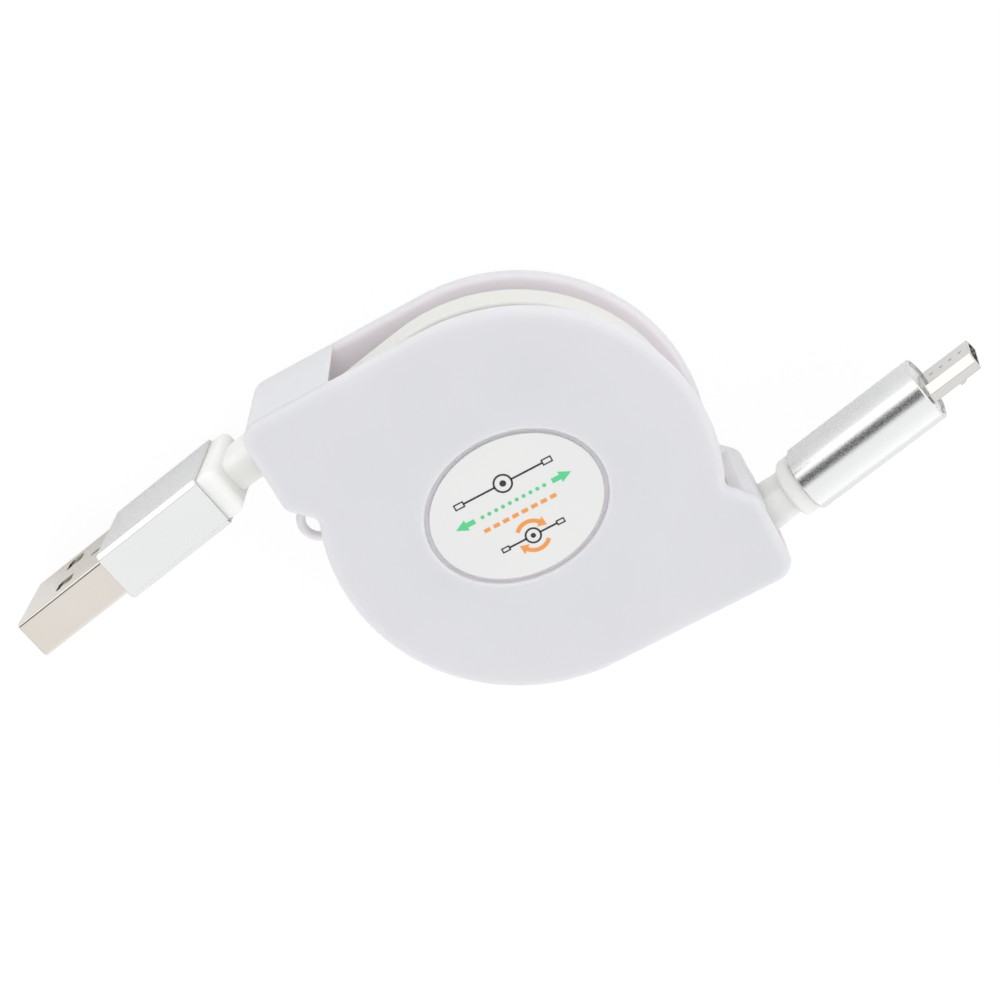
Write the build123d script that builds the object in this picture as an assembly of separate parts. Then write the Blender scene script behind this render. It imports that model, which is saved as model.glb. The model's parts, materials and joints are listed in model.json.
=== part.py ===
"""Retractable charging cable.

A flat cable, folded in half, is wound on a sprung spool inside a two-shell reel housing.
Each half leaves the coil on a straight tangent, through the mouth of a squared arm of the
housing, and ends in a plug. Turning the spool lets both plugs out together.

Millimetres. The origin is on the spool's axis at the rear shell's outer face. +Z runs
along that axis to the front shell, and +X along the arms' straight sides to the device plug.
"""

import math
import os

from build123d import *

# Flat cable
cable_thickness = 0.95
cable_width = 5.0
turn_gap = 0.10
coil_turns = 4
host_exit_angle = 10.0
device_exit_angle = 11.3
cable_side_gap = 0.2

# Spool
drum_radius = 9.8
drum_wall = 1.0
drum_gap = 0.075
flange_radius = 17.0
flange_thickness = 1.9
cover_thickness = 1.7
cover_spigot_wall = 0.7
cover_spigot_height = 0.8
axial_play = 0.1
run_clearance = 0.08
seat_clearance = 0.02

# Centre post and screw
post_radius = 3.0
thrust_ring_width = 2.0
rear_thrust_height = 0.6
front_thrust_height = 2.0
front_boss_height = 1.2
screw_shank_radius = 0.95
screw_bore_clearance = 0.05
screw_head_radius = 2.0
screw_head_height = 0.9
screw_head_round = 0.3
screw_head_clearance = 0.1
screw_length = 8.0
screw_tip_chamfer = 0.45
screw_bore_spare = 0.5
screw_slot_length = 2.6
screw_slot_width = 0.6
screw_slot_depth = 0.5

# Power spring
spring_strip = 0.2
spring_height = 4.2
spring_turns = 7
spring_post_gap = 0.35
spring_drum_gap = 0.25
spring_tab = 0.75
spring_slit = 0.45

# Ratchet
notch_rim = 1.7
notch_depth = 1.4
notch_count = 6
notch_width = 3.2
track_lane_width = 1.9
track_depth = 0.7
pawl_pin_radius = 0.55
pawl_pin_gap = 0.25
pawl_pin_angle = 270.0
pawl_pivot_offset = 0.4
pawl_pivot_angle = 300.0
pawl_peg_radius = 0.9
pawl_hub_radius = 1.7
pawl_arm_width = 1.5
pawl_thickness = 1.2
pawl_clearance = 0.15
pawl_pocket_depth = 0.8
pawl_pocket_margin = 0.6
pawl_hub_margin = 0.3
pawl_swing = 12.0

# Housing
rear_plate = 2.4
front_plate = 1.2
rim_margin = 0.725
arm_overreach = 0.6
arm_width = 9.8
arm_corner_radius = 2.2
arm_step_radius = 1.6
arm_root_radius = 1.0
rear_edge_round = 1.3
rim_round = 0.7
front_edge_round = 1.05
parting_bevel = 0.12
wall_root = 0.8
side_wall = 2.0
side_wall_length = 10.8
side_wall_lead = 1.8
end_wall = 2.4
end_swell = 0.35
mouth_clearance = 0.5
mouth_edge_round = 0.4
locating_pin_radius = 0.5
locating_pin_length = 2.5
locating_pin_clearance = 0.06
locating_pin_setback = 5.6

# Keyring ear
ear_distance = 1.6
ear_angle = 168.4
ear_outer_radius = 2.55
ear_hole_radius = 1.55
ear_thickness = 1.1
ear_root_width = 4.0
ear_edge_round = 0.45

# Oval label on its pad, in a recess
label_length = 18.7
label_height = 15.2
label_thickness = 0.2
label_pad_height = 0.2
label_shift_x = -0.65
label_shift_y = 0.1
recess_depth = 0.6
recess_margin = 0.55
recess_lip_round = 0.2

# How each plug hangs on its cable at the arm's mouth
host_shift_y = -0.15
host_shift_z = -0.2
host_roll = 2.65
device_shift_y = -0.25
device_shift_z = -0.09
device_turn = 2.4
device_lift = 6.3
device_roll = -9.1

# Host plug, measured along its axis from the arm's mouth
host_neck_start = -1.2
host_shoulder = 3.8
host_sleeve_start = 6.0
host_sleeve_length = 13.5
host_sleeve_thickness = 6.0
host_sleeve_width = 14.3
host_sleeve_bevel = 0.52
host_sleeve_wall = 0.3
host_core_radius = 0.6
host_sleeve_chamfer = 0.12
host_neck_thickness = 3.6
host_neck_width = 8.0
host_neck_radius = 1.2
host_shoulder_round = 1.0
host_front_setback = 0.3
host_shield_reach = 12.0
host_shield_tail = 2.3
host_shield_thickness = 4.5
host_shield_width = 12.0
host_shield_radius = 0.4
host_shield_wall = 0.3
host_shield_chamfer = 0.12
host_window_setback = 6.1
host_window_length = 2.2
host_window_width = 2.3
host_window_offset = 3.1
host_window_radius = 0.3
host_slot_setback = 9.7
host_slot_length = 1.3
host_slot_width = 0.7
host_tongue_thickness = 1.8
host_tongue_setback = 0.9
host_cavity_depth = 10.4
host_contact_width = 1.0
host_contact_thickness = 0.2
host_contact_offsets = (-3.5, -1.0, 1.0, 3.5)
host_contact_outer_setback = 0.9
host_contact_inner_setback = 1.9

# Device plug, measured along its axis from the arm's mouth
device_neck_start = -1.2
device_collar_start = 3.2
device_sleeve_start = 5.15
device_sleeve_length = 16.0
device_sleeve_thickness = 6.55
device_sleeve_width = 9.3
device_sleeve_wall = 0.3
device_sleeve_chamfer = 0.12
device_neck_thickness = 3.6
device_neck_width = 7.4
device_neck_radius = 1.2
device_collar_round = 0.5
device_front_setback = 0.3
device_shield_reach = 5.9
device_shield_tail = 2.0
device_shield_thickness = 1.8
device_shield_width = 6.85
device_shield_bevel_width = 0.9
device_shield_bevel_height = 0.9
device_shield_wall = 0.25
device_shield_chamfer = 0.1
device_tongue_thickness = 0.55
device_tongue_setback = 0.7
device_cavity_depth = 5.0
device_contact_width = 0.37
device_contact_thickness = 0.12
device_contact_pitch = 0.65
device_contact_count = 5
device_contact_setback = 0.5
device_dimple_radius = 0.2
device_dimple_depth = 0.1
device_dimple_count = 4
device_dimple_pitch = 1.2
device_dimple_setback = 1.1
latch_offset = 2.35
latch_width = 0.8
latch_strip = 0.15
latch_slot_clearance = 0.12
latch_setback = 1.3
latch_hook_length = 1.4
latch_hook_flat = 0.5
latch_hook_height = 0.4
latch_arm_length = 4.4

# How far a boss runs into its plate, a cutter past the face it cuts, the least corner radius,
# and how near counts as the same place
root_overlap = 0.3
cut_over = 2.0
least_radius = 0.05
same_place = 1e-3

# Heights of the stack along the axis
flange_bottom = rear_plate + rear_thrust_height + axial_play
flange_top = flange_bottom + flange_thickness
cable_bottom = flange_top + cable_side_gap
cable_middle = cable_bottom + cable_width / 2
cover_bottom = cable_bottom + cable_width + cable_side_gap
cover_top = cover_bottom + cover_thickness
front_inner = cover_top + axial_play + front_thrust_height
thickness = front_inner + front_plate
post_top = front_inner - front_boss_height
recess_floor = thickness - recess_depth
label_seat = recess_floor + label_pad_height
screw_seat = label_seat - screw_head_height - screw_head_clearance

# Coil and housing radii
turn_pitch = cable_thickness + turn_gap
exit_radius = drum_radius + drum_gap + cable_thickness / 2 + (2 * coil_turns + 1) * turn_pitch
first_radius = exit_radius - turn_pitch / 2
disc_radius = exit_radius + cable_thickness / 2 + rim_margin
arm_reach = disc_radius + arm_overreach
arm_step = disc_radius - arm_width
spool_bore_radius = post_radius + run_clearance
thrust_ring_radius = post_radius + thrust_ring_width
drum_inner_radius = drum_radius - drum_wall
winding_angle = 90.0 + host_exit_angle

# Ratchet circles, from the flange's edge inwards
notch_outer_radius = flange_radius - notch_rim
track_outer_radius = notch_outer_radius - notch_depth
track_inner_radius = track_outer_radius - track_lane_width
pawl_pin_circle = track_inner_radius + pawl_pin_radius + pawl_pin_gap
pawl_pivot_circle = pawl_pin_circle + pawl_pivot_offset

# Plug stations
host_sleeve_end = host_sleeve_start + host_sleeve_length
host_tip = host_sleeve_end + host_shield_reach
host_shield_start = host_sleeve_end - host_shield_tail
device_sleeve_end = device_sleeve_start + device_sleeve_length
device_tip = device_sleeve_end + device_shield_reach
device_shield_start = device_sleeve_end - device_shield_tail


def polar(radius, angle):
    """Point in the XY plane from a radius and an angle in degrees."""
    return Vector(radius * math.cos(math.radians(angle)), radius * math.sin(math.radians(angle)))


def half_turned(shape):
    """The shape turned half round the spool's axis."""
    return Rot(0, 0, 180) * shape


def tube(outer, inner, bottom, top):
    """Ring of rectangular section round the Z axis."""
    ring = Circle(outer) - Circle(inner)
    return Pos(0, 0, bottom) * extrude(ring, top - bottom)


def disc(radius, bottom, top):
    """Plain disc round the Z axis."""
    return Pos(0, 0, bottom) * extrude(Circle(radius), top - bottom)


def strip_face(arcs, width):
    """Flat band of constant width along tangent arcs (centre, radius, start angle, sweep)."""
    edges = []
    ends = {}
    for side in (-1, 1):
        chain = []
        for centre, radius, start, sweep in arcs:
            offset = -side * math.copysign(width / 2, sweep)
            chain.append(CenterArc(centre, radius + offset, start, sweep))
        ends[side] = (chain[0] @ 0, chain[-1] @ 1)
        edges += chain
    edges += [Line(ends[-1][place], ends[1][place]) for place in (0, 1)]
    return make_face(edges)


def spiral_arcs(radius, step, count, angle, first_centre):
    """Half turns of a two-centre spiral that winds clockwise and inwards from an angle."""
    arcs = []
    axis = polar(1.0, angle)
    for turn in range(count):
        odd = turn % 2
        centre = first_centre - axis * step * odd
        arcs.append((centre, radius - turn * step, angle + 180.0 * odd, -180.0))
    return arcs


def reversed_arcs(arcs):
    """The same arcs walked from the last to the first."""
    return [(centre, radius, start + sweep, -sweep) for centre, radius, start, sweep in reversed(arcs)]


def section(shape, start, end):
    """A YZ section swept along X from one station to another."""
    return extrude(Plane.YZ.offset(start) * shape, end - start)


def neck_loft(shape, start, end, hang):
    """Neck from a section square to the lead to the same section turned with its plug."""
    return loft([Plane.YZ.offset(start) * shape, hang(Plane.YZ.offset(end) * shape)])


def edges_at(shape, station):
    """Edges that lie in the plane X = station."""
    return shape.edges().filter_by_position(Axis.X, station - same_place, station + same_place)


def outer_edges_at(shape, station):
    """Edges of the outer outline in the plane X = station."""
    face = shape.faces().filter_by_position(Axis.X, station - same_place, station + same_place)[0]
    return face.outer_wire().edges()


def lead_start(exit_angle):
    """Point where a lead leaves the coil, on the device's side of the reel."""
    return polar(first_radius, exit_angle - 90.0) - polar(turn_pitch / 2, winding_angle)


def lead_length(exit_angle):
    """Length of a lead from the coil to its arm's mouth."""
    return (arm_reach - lead_start(exit_angle).X) / math.cos(math.radians(exit_angle))


def in_mouth(shape, exit_angle):
    """Places a plug's own frame (X outwards, Z along the spool's axis) in the device arm's mouth."""
    mouth_y = lead_start(exit_angle).Y + lead_length(exit_angle) * math.sin(math.radians(exit_angle))
    return Pos(arm_reach, mouth_y, cable_middle) * Rot(0, 0, exit_angle) * shape


def on_host_exit(shape):
    """Places a plug's own frame in the host arm's mouth."""
    return half_turned(in_mouth(shape, host_exit_angle))


def on_device_exit(shape):
    """Places a plug's own frame in the device arm's mouth."""
    return in_mouth(shape, device_exit_angle)


def host_hung(shape):
    """Shifts and rolls the host plug as it hangs on its cable."""
    return Pos(0, host_shift_y, host_shift_z) * Rot(host_roll, 0, 0) * shape


def device_hung(shape):
    """Shifts, turns, lifts and rolls the device plug as it hangs on its cable."""
    tilt = Rot(0, 0, device_turn) * Rot(0, -device_lift, 0) * Rot(device_roll, 0, 0)
    return Pos(0, device_shift_y, device_shift_z) * tilt * shape


# Housing


def housing_outline():
    """Disc with two squared arms, the same after half a turn."""
    reach_sum = arm_reach + arm_step
    root = reach_sum ** 2 - 2 * (arm_reach ** 2 + arm_step ** 2 - disc_radius ** 2)
    slant = (reach_sum - math.sqrt(root)) / 2
    root_point = Vector(-arm_reach + slant, arm_step - slant)
    root_angle = math.degrees(math.atan2(root_point.Y, root_point.X))
    arm = Polyline((0, disc_radius), (-arm_reach, disc_radius), (-arm_reach, arm_step), root_point)
    side = ThreePointArc(root_point, polar(disc_radius, (root_angle + 270) / 2), (0, -disc_radius))
    half = [*arm.edges(), *side.edges()]
    face = make_face([*half, *[half_turned(edge) for edge in half]])
    corners = (
        (Vector(-arm_reach, disc_radius), arm_corner_radius),
        (Vector(-arm_reach, arm_step), arm_step_radius),
        (root_point, arm_root_radius),
    )
    for point, radius in corners:
        places = (point, point * -1)
        near = [v for v in face.vertices() if min((Vector(v) - p).length for p in places) < same_place]
        face = fillet(near, radius)
    return face


def mouth_cut():
    """Slot in an arm's end wall that the cable's neck passes through, in the plug's own frame."""
    slot_thickness = max(host_neck_thickness, device_neck_thickness) + 2 * mouth_clearance
    slot_width = max(host_neck_width, device_neck_width) + 2 * mouth_clearance
    bottom = -slot_width / 2
    top = front_inner - cable_middle
    slot = Box(2 * (end_wall + cut_over), slot_thickness, top - bottom)
    slot = fillet(slot.edges().filter_by(Axis.X).sort_by(Axis.Z)[:2], mouth_edge_round)
    return Pos(0, 0, (top + bottom) / 2) * slot


def locating_pin_place():
    """Centre of the locating pin in the host arm's side wall."""
    return Vector(-arm_reach + locating_pin_setback, disc_radius - side_wall / 2)


def on_pawl_pivot(shape):
    """Places the pawl's own frame (X from its peg to its pin) in the rear shell."""
    pivot = polar(pawl_pivot_circle, pawl_pivot_angle)
    run = polar(pawl_pin_circle, pawl_pin_angle) - pivot
    return Pos(pivot.X, pivot.Y) * Rot(0, 0, math.degrees(math.atan2(run.Y, run.X))) * shape


def pawl_reach():
    """Distance from the pawl's peg to its pin."""
    return (polar(pawl_pin_circle, pawl_pin_angle) - polar(pawl_pivot_circle, pawl_pivot_angle)).length


def pawl_arm(width):
    """Round-ended bar from the peg to the pin."""
    return Pos(pawl_reach() / 2, 0) * SlotCenterToCenter(pawl_reach(), width)


def pawl_pocket():
    """Shallow pocket in the rear plate where the pawl swings."""
    shape = Circle(pawl_hub_radius + pawl_hub_margin)
    for swing in (0.0, pawl_swing / 2, pawl_swing):
        shape += Rot(0, 0, swing) * pawl_arm(pawl_arm_width + 2 * pawl_pocket_margin)
    return on_pawl_pivot(Pos(0, 0, rear_plate - pawl_pocket_depth) * extrude(shape, pawl_pocket_depth))


def keyring_ear():
    """Small rounded loop that stands out of the rear plate's edge."""
    centre = polar(disc_radius + ear_distance, ear_angle)
    root = Pos(-ear_distance, 0) * Rectangle(2 * ear_distance, ear_root_width)
    loop = extrude(Circle(ear_outer_radius) + root - Circle(ear_hole_radius), ear_thickness)
    rims = loop.edges().filter_by(GeomType.CIRCLE).filter_by(lambda edge: edge.length > ear_hole_radius)
    loop = fillet(rims, ear_edge_round)
    return Pos(centre.X, centre.Y, rear_plate - ear_thickness) * Rot(0, 0, ear_angle) * loop


def arm_walls(outline):
    """Side wall, led in at its free end, and end wall of the host arm, cut to the outline."""
    side = make_face(Polyline(
        (0, 0), (side_wall_length, 0), (side_wall_length - side_wall_lead, -side_wall), (0, -side_wall),
        close=True))
    end = Rectangle(end_wall, arm_width + arm_root_radius, align=(Align.MIN, Align.MAX))
    footprint = outline & Pos(-arm_reach, disc_radius) * (side + end)
    bottom = rear_plate - wall_root
    return Pos(0, 0, bottom) * extrude(footprint, front_inner - bottom) + mouth_swell()


def swell_face(low, high):
    """Bow between two places along Y that stands out to -X from a back inside the wall."""
    bow = ThreePointArc((0, low), (-end_swell, (low + high) / 2), (0, high))
    back = Polyline((0, high), (root_overlap, high), (root_overlap, low), (0, low))
    return make_face([*bow.edges(), *back.edges()])


def mouth_swell():
    """Slight swell of the host arm's end wall, highest at its mouth."""
    inner, outer = arm_step + arm_step_radius, disc_radius - arm_corner_radius
    height, width = front_inner - rear_plate, outer - inner
    across = extrude(swell_face(inner, outer), height / 2, both=True)
    upright = Rot(90, 0, 0) * extrude(swell_face(rear_plate, front_inner), width / 2, both=True)
    across = Pos(-arm_reach, 0, rear_plate + height / 2) * across
    return across & Pos(-arm_reach, inner + width / 2, 0) * upright


def make_rear_shell():
    """Rear plate with the arms' walls, the centre post, the pawl's peg and the keyring ear."""
    outline = housing_outline()
    plate = extrude(outline, rear_plate)
    plate = fillet(plate.faces().sort_by(Axis.Z)[0].edges(), rear_edge_round)
    plate = fillet(plate.faces().sort_by(Axis.Z)[-1].edges(), rim_round)
    walls = arm_walls(outline)
    shell = plate + walls + half_turned(walls)
    shell -= on_host_exit(mouth_cut())
    shell -= on_device_exit(mouth_cut())
    shell += keyring_ear()
    shell += disc(thrust_ring_radius, rear_plate - root_overlap, rear_plate + rear_thrust_height)
    shell += disc(post_radius, rear_plate, post_top)
    bore_bottom = screw_seat - screw_length - screw_bore_spare
    shell -= disc(screw_shank_radius + screw_bore_clearance, bore_bottom, post_top)
    shell -= spring_post_slit()
    shell -= pawl_pocket()
    pocket_floor = rear_plate - pawl_pocket_depth
    peg_top = pocket_floor + pawl_clearance + pawl_thickness
    shell += on_pawl_pivot(disc(pawl_peg_radius, pocket_floor - root_overlap, peg_top))
    place = locating_pin_place()
    socket_radius = locating_pin_radius + locating_pin_clearance
    socket_bottom = front_inner - locating_pin_length - axial_play
    socket = Pos(place.X, place.Y) * disc(socket_radius, socket_bottom, front_inner)
    return shell - socket - half_turned(socket)


def make_front_shell():
    """Front plate with the oval label recess, the screw boss, the thrust ring and two locating pins."""
    plate = Pos(0, 0, front_inner) * extrude(housing_outline(), front_plate)
    plate = fillet(plate.faces().sort_by(Axis.Z)[-1].edges(), front_edge_round)
    plate = chamfer(plate.faces().sort_by(Axis.Z)[0].edges(), parting_bevel)
    shell = plate - label_recess()
    shell = fillet(shell.faces().sort_by(Axis.Z)[-1].inner_wires()[0].edges(), recess_lip_round)
    thrust_bottom = front_inner - front_thrust_height
    shell += tube(thrust_ring_radius, spool_bore_radius, thrust_bottom, post_top)
    shell += disc(thrust_ring_radius, post_top, front_inner + root_overlap)
    shell -= disc(screw_head_radius + screw_head_clearance, screw_seat, label_seat)
    shell -= disc(screw_shank_radius + screw_bore_clearance, post_top, screw_seat)
    place = locating_pin_place()
    pin = disc(locating_pin_radius, front_inner - locating_pin_length, front_inner + root_overlap)
    pin = Pos(place.X, place.Y) * pin
    return shell + pin + half_turned(pin)


def label_oval(margin, height):
    """Oval plate under the label, wider than it by a margin, in the object's frame up to a height."""
    oval = Ellipse(label_length / 2 + margin, label_height / 2 + margin)
    return Pos(label_shift_x, label_shift_y, recess_floor) * extrude(oval, height)


def label_recess():
    """Oval hollow with a raised pad that the label lies on."""
    return label_oval(recess_margin, recess_depth) - label_oval(0.0, label_pad_height)


def make_label():
    """Oval label on the recess's pad."""
    return Pos(0, 0, label_pad_height) * label_oval(0.0, label_thickness)


def make_centre_screw():
    """Pan-head screw that holds the two shells together through the post."""
    head_top = screw_seat + screw_head_height
    head = disc(screw_head_radius, screw_seat, head_top)
    head = fillet(head.edges().sort_by(Axis.Z)[-1], screw_head_round)
    shank = disc(screw_shank_radius, screw_seat - screw_length, screw_seat)
    shank = chamfer(shank.edges().sort_by(Axis.Z)[0], screw_tip_chamfer)
    slot = Pos(0, 0, head_top) * Box(screw_slot_length, screw_slot_width, 2 * screw_slot_depth)
    return head + shank - slot - Rot(0, 0, 90) * slot


# Spool and its drive


def spring_bottom():
    """Height at which the power spring sits in the drum."""
    room = cover_bottom - cover_spigot_height - flange_top
    return flange_top + (room - spring_height) / 2


def spring_post_slit():
    """Slit in the post that takes the power spring's inner tab."""
    bottom = spring_bottom() - axial_play
    slit = extrude(Rectangle(2 * spring_tab, spring_slit), post_top - bottom)
    return Pos(post_radius, 0, bottom) * slit


def spring_drum_slit():
    """Slit through the drum's wall that takes the power spring's outer tab."""
    slit = extrude(Rectangle(drum_wall + 2 * cut_over, spring_slit), cover_bottom - flange_top)
    return Pos(drum_radius - drum_wall / 2, 0, flange_top) * slit


def make_spool():
    """Drum with the rear flange and, under it, the ratchet track."""
    spool = disc(flange_radius, flange_bottom, flange_top)
    spool += tube(drum_radius, drum_inner_radius, flange_bottom, cover_bottom)
    spool -= disc(spool_bore_radius, flange_bottom, flange_top)
    spool -= spring_drum_slit()
    lane = Circle(track_outer_radius) - Circle(track_inner_radius)
    lane_middle = (track_inner_radius + track_outer_radius) / 2
    notch = Rectangle(notch_outer_radius - lane_middle, notch_width, align=(Align.MIN, Align.CENTER))
    for step in range(notch_count):
        lane += Rot(0, 0, pawl_pin_angle + 360 / notch_count * step) * Pos(lane_middle, 0) * notch
    return spool - Pos(0, 0, flange_bottom) * extrude(lane, track_depth)


def make_spool_cover():
    """Front flange that closes the drum over the power spring."""
    cover = tube(flange_radius, spool_bore_radius, cover_bottom, cover_top)
    spigot_outer = drum_inner_radius - seat_clearance
    spigot_bottom = cover_bottom - cover_spigot_height
    return cover + tube(spigot_outer, spigot_outer - cover_spigot_wall, spigot_bottom, cover_bottom)


def make_cable_coil():
    """The wound part of the cable: both halves side by side, joined by the fold at the drum."""
    centre = polar(turn_pitch / 2, winding_angle)
    half_turns = 2 * coil_turns
    host_half = spiral_arcs(first_radius, turn_pitch, half_turns, winding_angle, centre)
    device_half = spiral_arcs(first_radius, turn_pitch, half_turns + 1, winding_angle + 180, centre * -1)
    lag = device_exit_angle - host_exit_angle
    first_centre, radius, start, sweep = device_half[0]
    device_half[0] = (first_centre, radius, start + lag, sweep - lag)
    fold_radius = exit_radius - half_turns * turn_pitch - turn_pitch / 2
    fold = [(polar(fold_radius, winding_angle), turn_pitch / 2, winding_angle, -180.0)]
    ribbon = strip_face(host_half + fold + reversed_arcs(device_half), cable_thickness)
    return Pos(0, 0, cable_bottom) * extrude(ribbon, cable_width)


def make_power_spring():
    """Spiral strip from the post to the drum's wall, with a tab at each end."""
    outer = drum_inner_radius - spring_drum_gap - spring_strip / 2
    inner = post_radius + spring_post_gap + spring_strip / 2
    step = (outer - inner) / (2 * spring_turns)
    arcs = spiral_arcs(outer - step / 2, step, 2 * spring_turns, 0.0, Vector(step / 2, 0))
    strip = strip_face(arcs, spring_strip)
    outer_tab = Rectangle(spring_tab, spring_strip, align=(Align.MIN, Align.MIN))
    outer_tab = Pos(outer - spring_strip / 2, 0) * outer_tab
    inner_tab = Rectangle(spring_tab, spring_strip, align=(Align.MAX, Align.MAX))
    inner_tab = Pos(inner + spring_strip / 2, 0) * inner_tab
    return Pos(0, 0, spring_bottom()) * extrude(strip + outer_tab + inner_tab, spring_height)


def make_ratchet_pawl():
    """Small arm on the rear shell's peg, with a pin that runs in the spool's track."""
    bottom = rear_plate - pawl_pocket_depth + pawl_clearance
    arm = Circle(pawl_hub_radius) + pawl_arm(pawl_arm_width) - Circle(pawl_peg_radius + run_clearance)
    pin_top = flange_bottom + track_depth - pawl_clearance
    pin = Pos(pawl_reach(), 0) * disc(pawl_pin_radius, bottom, pin_top)
    return on_pawl_pivot(Pos(0, 0, bottom) * extrude(arm, pawl_thickness) + pin)


def make_lead(exit_angle, neck_start):
    """Straight run of cable from the coil to the plug's neck, in the plug's own frame."""
    return section(Rectangle(cable_thickness, cable_width), -lead_length(exit_angle), neck_start)


# Host plug


def host_core_section(grow=0.0):
    """Section of the overmould inside the sleeve."""
    shrink = 2 * (host_sleeve_wall + seat_clearance - grow)
    return RectangleRounded(host_sleeve_thickness - shrink, host_sleeve_width - shrink, host_core_radius)


def host_shield_section(grow=0.0):
    """Outer section of the shield."""
    thick = host_shield_thickness + 2 * grow
    wide = host_shield_width + 2 * grow
    return RectangleRounded(thick, wide, max(host_shield_radius + grow, least_radius))


def make_host_overmould():
    """Moulded body with the pocket that holds the shield and the neck where the cable goes in."""
    front = host_sleeve_end - host_front_setback
    body = section(host_core_section(), host_shoulder, front)
    body = fillet(edges_at(body, host_shoulder), host_shoulder_round)
    body -= section(host_shield_section(seat_clearance), host_shield_start, front)
    neck = RectangleRounded(host_neck_thickness, host_neck_width, host_neck_radius)
    return host_hung(body) + neck_loft(neck, host_neck_start, host_shoulder + host_shoulder_round, host_hung)


def make_host_sleeve():
    """Drawn metal sleeve over the overmould."""
    outer = chamfer(Rectangle(host_sleeve_thickness, host_sleeve_width).vertices(), host_sleeve_bevel)
    sleeve = section(outer - host_core_section(seat_clearance), host_sleeve_start, host_sleeve_end)
    rims = outer_edges_at(sleeve, host_sleeve_start) + outer_edges_at(sleeve, host_sleeve_end)
    return chamfer(rims, host_sleeve_chamfer)


def make_host_shield():
    """Folded metal shell with two windows and a slot in each wide face."""
    ring = host_shield_section() - host_shield_section(-host_shield_wall)
    shell = section(ring, host_shield_start, host_tip)
    shell = chamfer(outer_edges_at(shell, host_tip), host_shield_chamfer)
    window = Plane.XZ * RectangleRounded(host_window_length, host_window_width, host_window_radius)
    window = extrude(window, host_shield_thickness, both=True)
    for side in (-1, 1):
        shell -= Pos(host_tip - host_window_setback, 0, side * host_window_offset) * window
    slot = Plane.XZ * SlotOverall(host_slot_length, host_slot_width)
    slot = extrude(slot, host_shield_thickness, both=True)
    return shell - Pos(host_tip - host_slot_setback, 0, 0) * slot


def host_cavity():
    """Half the thickness and half the width of the room inside the shield."""
    inset = host_shield_wall + seat_clearance
    return host_shield_thickness / 2 - inset, host_shield_width / 2 - inset


def make_host_tongue():
    """Insulator: a base that fills the shield and a tongue along the wide face away from the front."""
    half_thick, half_wide = host_cavity()
    inside = host_shield_section(-host_shield_wall - seat_clearance)
    base = section(inside, host_shield_start, host_tip - host_cavity_depth)
    full = section(inside, host_shield_start, host_tip - host_tongue_setback)
    keep = Box(2 * (host_tip + cut_over), 2 * host_tongue_thickness, 2 * (half_wide + cut_over))
    return base + (full & Pos(0, half_thick, 0) * keep)


def make_host_contacts():
    """Four gold strips on the tongue: the outer pair reaches further forward."""
    half_thick, _ = host_cavity()
    surface = half_thick - host_tongue_thickness
    start = host_tip - host_cavity_depth
    strips = []
    for offset in host_contact_offsets:
        outer = abs(offset) == max(host_contact_offsets)
        setback = host_contact_outer_setback if outer else host_contact_inner_setback
        length = host_tip - host_tongue_setback - setback - start
        strip = Rectangle(host_contact_thickness, host_contact_width, align=(Align.MAX, Align.CENTER))
        strips.append(Pos(0, surface, offset) * section(strip, start, start + length))
    return Compound(children=strips)


# Device plug


def stadium(thick, wide):
    """Section with two flat sides and two round ends, its length along the spool's axis."""
    return Rot(0, 0, 90) * SlotOverall(wide, thick)


def device_core_section(grow=0.0):
    """Section of the overmould inside the sleeve."""
    shrink = 2 * (device_sleeve_wall + seat_clearance - grow)
    return stadium(device_sleeve_thickness - shrink, device_sleeve_width - shrink)


def device_shield_section(grow=0.0):
    """Flat section with two bevelled corners on the face turned to the front."""
    half_thick = device_shield_thickness / 2 + grow
    half_wide = device_shield_width / 2 + grow
    bevel_wide = device_shield_bevel_width
    bevel_low = half_thick - device_shield_bevel_height
    right = [(-half_thick, half_wide), (bevel_low, half_wide), (half_thick, half_wide - bevel_wide)]
    left = [(y, -z) for y, z in reversed(right)]
    return make_face(Polyline(*right, *left, close=True))


def make_device_overmould():
    """Moulded body with the collar behind the sleeve, the pocket for the shield and the neck."""
    front = device_sleeve_end - device_front_setback
    body = section(device_core_section(), device_collar_start, front)
    body = fillet(edges_at(body, device_collar_start), device_collar_round)
    body -= section(device_shield_section(seat_clearance), device_shield_start, front)
    neck = RectangleRounded(device_neck_thickness, device_neck_width, device_neck_radius)
    neck_end = device_collar_start + device_collar_round
    return device_hung(body) + neck_loft(neck, device_neck_start, neck_end, device_hung)


def make_device_sleeve():
    """Drawn metal sleeve with round ends over the overmould."""
    ring = stadium(device_sleeve_thickness, device_sleeve_width) - device_core_section(seat_clearance)
    sleeve = section(ring, device_sleeve_start, device_sleeve_end)
    rims = outer_edges_at(sleeve, device_sleeve_start) + outer_edges_at(sleeve, device_sleeve_end)
    return chamfer(rims, device_sleeve_chamfer)


def make_device_shield():
    """Small folded shell with slots for the latches and a row of dimples on the bevelled face."""
    ring = device_shield_section() - device_shield_section(-device_shield_wall)
    shell = section(ring, device_shield_start, device_tip)
    shell = chamfer(outer_edges_at(shell, device_tip), device_shield_chamfer)
    slot_length = latch_hook_length + 2 * latch_slot_clearance
    slot_width = latch_width + 2 * latch_slot_clearance
    slot_middle = device_tip - latch_setback - latch_hook_length / 2
    for side in (-1, 1):
        slot = Box(slot_length, 2 * device_shield_wall, slot_width)
        shell -= Pos(slot_middle, -device_shield_thickness / 2, side * latch_offset) * slot
    dimple = Cylinder(device_dimple_radius, 2 * device_dimple_depth, rotation=(90, 0, 0))
    for step in range(device_dimple_count):
        station = device_tip - device_dimple_setback - step * device_dimple_pitch
        shell -= Pos(station, device_shield_thickness / 2, 0) * dimple
    return shell


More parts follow.
